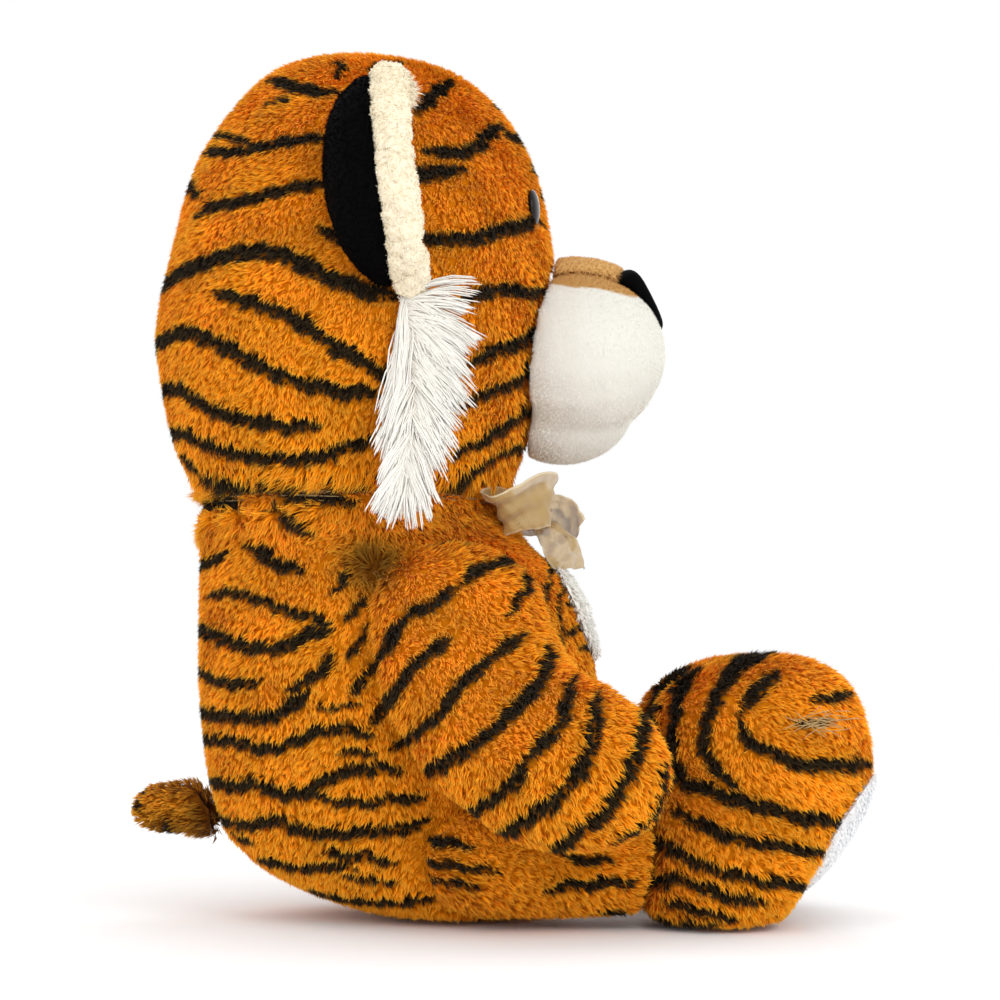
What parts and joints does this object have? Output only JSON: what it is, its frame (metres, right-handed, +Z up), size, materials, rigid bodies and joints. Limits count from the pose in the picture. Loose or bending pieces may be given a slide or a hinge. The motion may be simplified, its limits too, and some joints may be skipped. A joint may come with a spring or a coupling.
{
  "type": "plush tiger",
  "caption": "Seated stuffed tiger with striped fur cover, white muzzle, cupped ears, cheek tufts, neck bow and white soles; head, arms, legs, ears and tail flex at their seams.",
  "frame": {"origin": "on the floor under the middle of the toy's box", "axes": "+Z up from the seat to the crown, -Y the way the tiger faces, X across from its right side (-X) to its left side (+X)"},
  "size_m": [0.4334, 0.5152, 0.6102],
  "materials": {
    "tiger_plush": "clumped orange plush with dark brown stripes, pile about 9 mm",
    "white_plush": "short dense white plush",
    "black_velour": "short black velour",
    "tan_velour": "short tan velour",
    "cream_chenille": "nubbly cream chenille roll",
    "white_yarn": "long silky white yarn",
    "gold_ribbon": "sheer gold organza ribbon",
    "eye_plastic": "glossy dark brown moulded dome",
    "washer_plastic": "matte white locking washer",
    "fibre_fill": "white polyester fibre filling",
    "pellet_cloth": "plain cotton bag of plastic pellets"
  },
  "bodies": {
    "trunk": {"body_cover": "tiger_plush", "body_stuffing": "fibre_fill", "pellet_bag": "pellet_cloth", "chest_patch": "white_plush", "neck_ribbon": "gold_ribbon", "bow_knot": "gold_ribbon", "right_bow_loop": "gold_ribbon", "left_bow_loop": "gold_ribbon", "right_bow_end": "gold_ribbon", "left_bow_end": "gold_ribbon"},
    "head": {"head_cover": "tiger_plush", "head_stuffing": "fibre_fill", "right_eye": "eye_plastic", "left_eye": "eye_plastic", "right_eye_washer": "washer_plastic", "left_eye_washer": "washer_plastic", "muzzle_cover": "white_plush", "muzzle_stuffing": "fibre_fill", "nose": "black_velour", "nose_bridge": "tan_velour", "right_cheek_tuft": "white_yarn", "left_cheek_tuft": "white_yarn"},
    "right_ear": {"right_ear_back": "black_velour", "right_ear_lining": "white_plush", "right_ear_binding": "cream_chenille"},
    "left_ear": {"left_ear_back": "black_velour", "left_ear_lining": "white_plush", "left_ear_binding": "cream_chenille"},
    "right_arm": {"right_arm_cover": "tiger_plush", "right_arm_stuffing": "fibre_fill"},
    "left_arm": {"left_arm_cover": "tiger_plush", "left_arm_stuffing": "fibre_fill"},
    "right_leg": {"right_leg_cover": "tiger_plush", "right_leg_stuffing": "fibre_fill", "right_foot_cover": "tiger_plush", "right_foot_stuffing": "fibre_fill", "right_sole": "white_plush"},
    "left_leg": {"left_leg_cover": "tiger_plush", "left_leg_stuffing": "fibre_fill", "left_foot_cover": "tiger_plush", "left_foot_stuffing": "fibre_fill", "left_sole": "white_plush"},
    "tail": {"tail_cover": "tiger_plush", "tail_stuffing": "fibre_fill"}
  },
  "joints": [
    {"name": "neck_turn", "type": "hinge", "parent": "trunk", "child": "head", "pos_m": [0, 0.10158, 0.2915], "axis": [0, 0, 1], "range_deg": [-20, 20], "stiffness_Nm_per_rad": 2},
    {"name": "right_ear_bend", "type": "hinge", "parent": "head", "child": "right_ear", "pos_m": [-0.138, 0.07758, 0.482], "axis": [0.3134, 0, 0.9496], "range_deg": [-10, 10], "stiffness_Nm_per_rad": 0.3},
    {"name": "left_ear_bend", "type": "hinge", "parent": "head", "child": "left_ear", "pos_m": [0.138, 0.07758, 0.482], "axis": [0.3134, 0, -0.9496], "range_deg": [-10, 10], "stiffness_Nm_per_rad": 0.3},
    {"name": "right_shoulder", "type": "hinge", "parent": "trunk", "child": "right_arm", "pos_m": [-0.112, 0.03558, 0.2501], "axis": [0, 1, 0], "range_deg": [0, 22], "stiffness_Nm_per_rad": 0.5},
    {"name": "left_shoulder", "type": "hinge", "parent": "trunk", "child": "left_arm", "pos_m": [0.112, 0.03558, 0.2501], "axis": [0, -1, 0], "range_deg": [0, 22], "stiffness_Nm_per_rad": 0.5},
    {"name": "right_hip", "type": "hinge", "parent": "trunk", "child": "right_leg", "pos_m": [-0.084, 0.01558, 0.09862], "axis": [-1, 0, 0], "range_deg": [0, 15], "stiffness_Nm_per_rad": 0.8},
    {"name": "left_hip", "type": "hinge", "parent": "trunk", "child": "left_leg", "pos_m": [0.084, 0.01558, 0.09862], "axis": [-1, 0, 0], "range_deg": [0, 15], "stiffness_Nm_per_rad": 0.8},
    {"name": "tail_flex", "type": "hinge", "parent": "trunk", "child": "tail", "pos_m": [0, 0.19618, 0.072], "axis": [1, 0, 0], "range_deg": [-10, 20], "stiffness_Nm_per_rad": 0.4}
  ]
}
